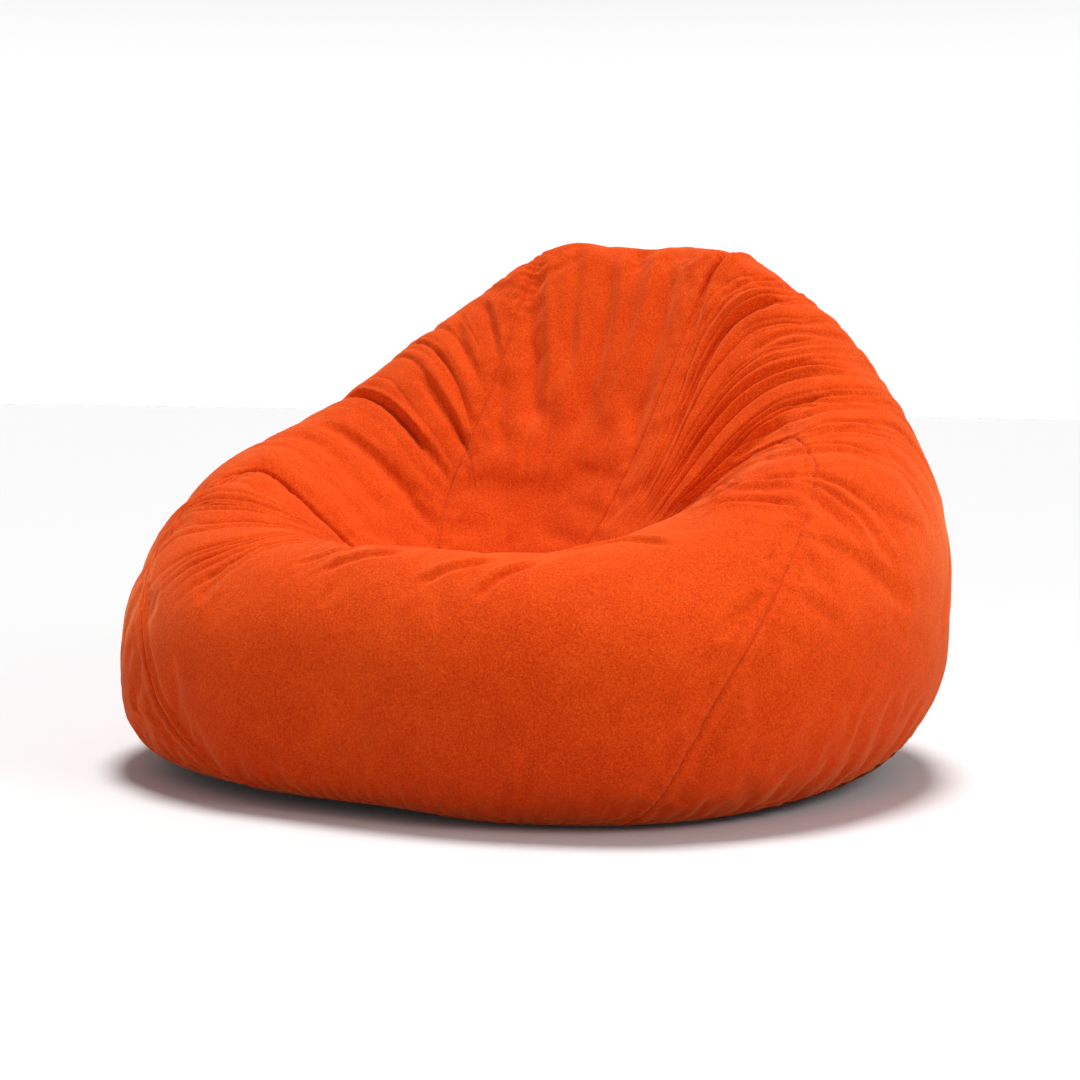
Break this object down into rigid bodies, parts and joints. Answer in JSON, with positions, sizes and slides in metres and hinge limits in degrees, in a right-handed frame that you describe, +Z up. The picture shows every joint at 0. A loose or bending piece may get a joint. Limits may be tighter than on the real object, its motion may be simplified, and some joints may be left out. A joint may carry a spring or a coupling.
{
  "type": "bean bag chair",
  "caption": "Low round bean bag chair with a deep seat hollow, a raised back and soft arms, a sewn velour cover with a rear zip, and a bead-filled liner.",
  "frame": {"origin": "middle of the bounding box, on the floor", "axes": "+Z up, the open front of the seat faces -Y, +X to the right as seen from the front"},
  "size_m": [1.0027, 0.9009, 0.6448],
  "materials": {
    "velour": "brushed velour with a soft sheen",
    "velour_base": "plain hard-wearing weave, darker than the cover",
    "thread": "twisted polyester sewing thread",
    "zip_tape": "woven tape",
    "zip_teeth": "nylon coil",
    "zip_metal": "plain die-cast, satin",
    "label": "blank satin ribbon",
    "liner_cloth": "thin spun cloth",
    "hook_strip": "hook and loop strip",
    "beads": "loose expanded polystyrene beads"
  },
  "bodies": {
    "cover": {"front_panel": "velour", "right_panel": "velour", "back_panel": "velour", "left_panel": "velour", "base_panel": "velour_base", "front_left_seam_thread": "thread", "front_right_seam_thread": "thread", "back_left_seam_thread": "thread", "back_right_seam_thread": "thread", "base_seam_thread": "thread", "zip_tape_upper": "zip_tape", "zip_tape_lower": "zip_tape", "zip_teeth_upper": "zip_teeth", "zip_teeth_lower": "zip_teeth", "zip_stop_closed_end": "zip_metal", "zip_stop_open_end": "zip_metal", "zip_stitching": "thread", "care_label": "label", "liner_front_half": "liner_cloth", "liner_rear_half": "liner_cloth", "liner_base": "liner_cloth", "liner_hook_strip": "hook_strip", "liner_loop_strip": "hook_strip", "bead_filling": "beads"},
    "slider": {"zip_slider": "zip_metal"},
    "pull_tab": {"zip_pull_tab": "zip_metal"}
  },
  "joints": [
    {"name": "zip_slide", "type": "hinge", "parent": "cover", "child": "slider", "pos_m": [0, -0.118, 0.055], "axis": [0, 0, 1], "range_deg": [-54, 0]},
    {"name": "pull_tab_swing", "type": "hinge", "parent": "slider", "child": "pull_tab", "pos_m": [-0.24353, 0.33557, 0.05486], "axis": [-0.3188, 0.5937, 0.7389], "range_deg": [-80, 80]}
  ]
}
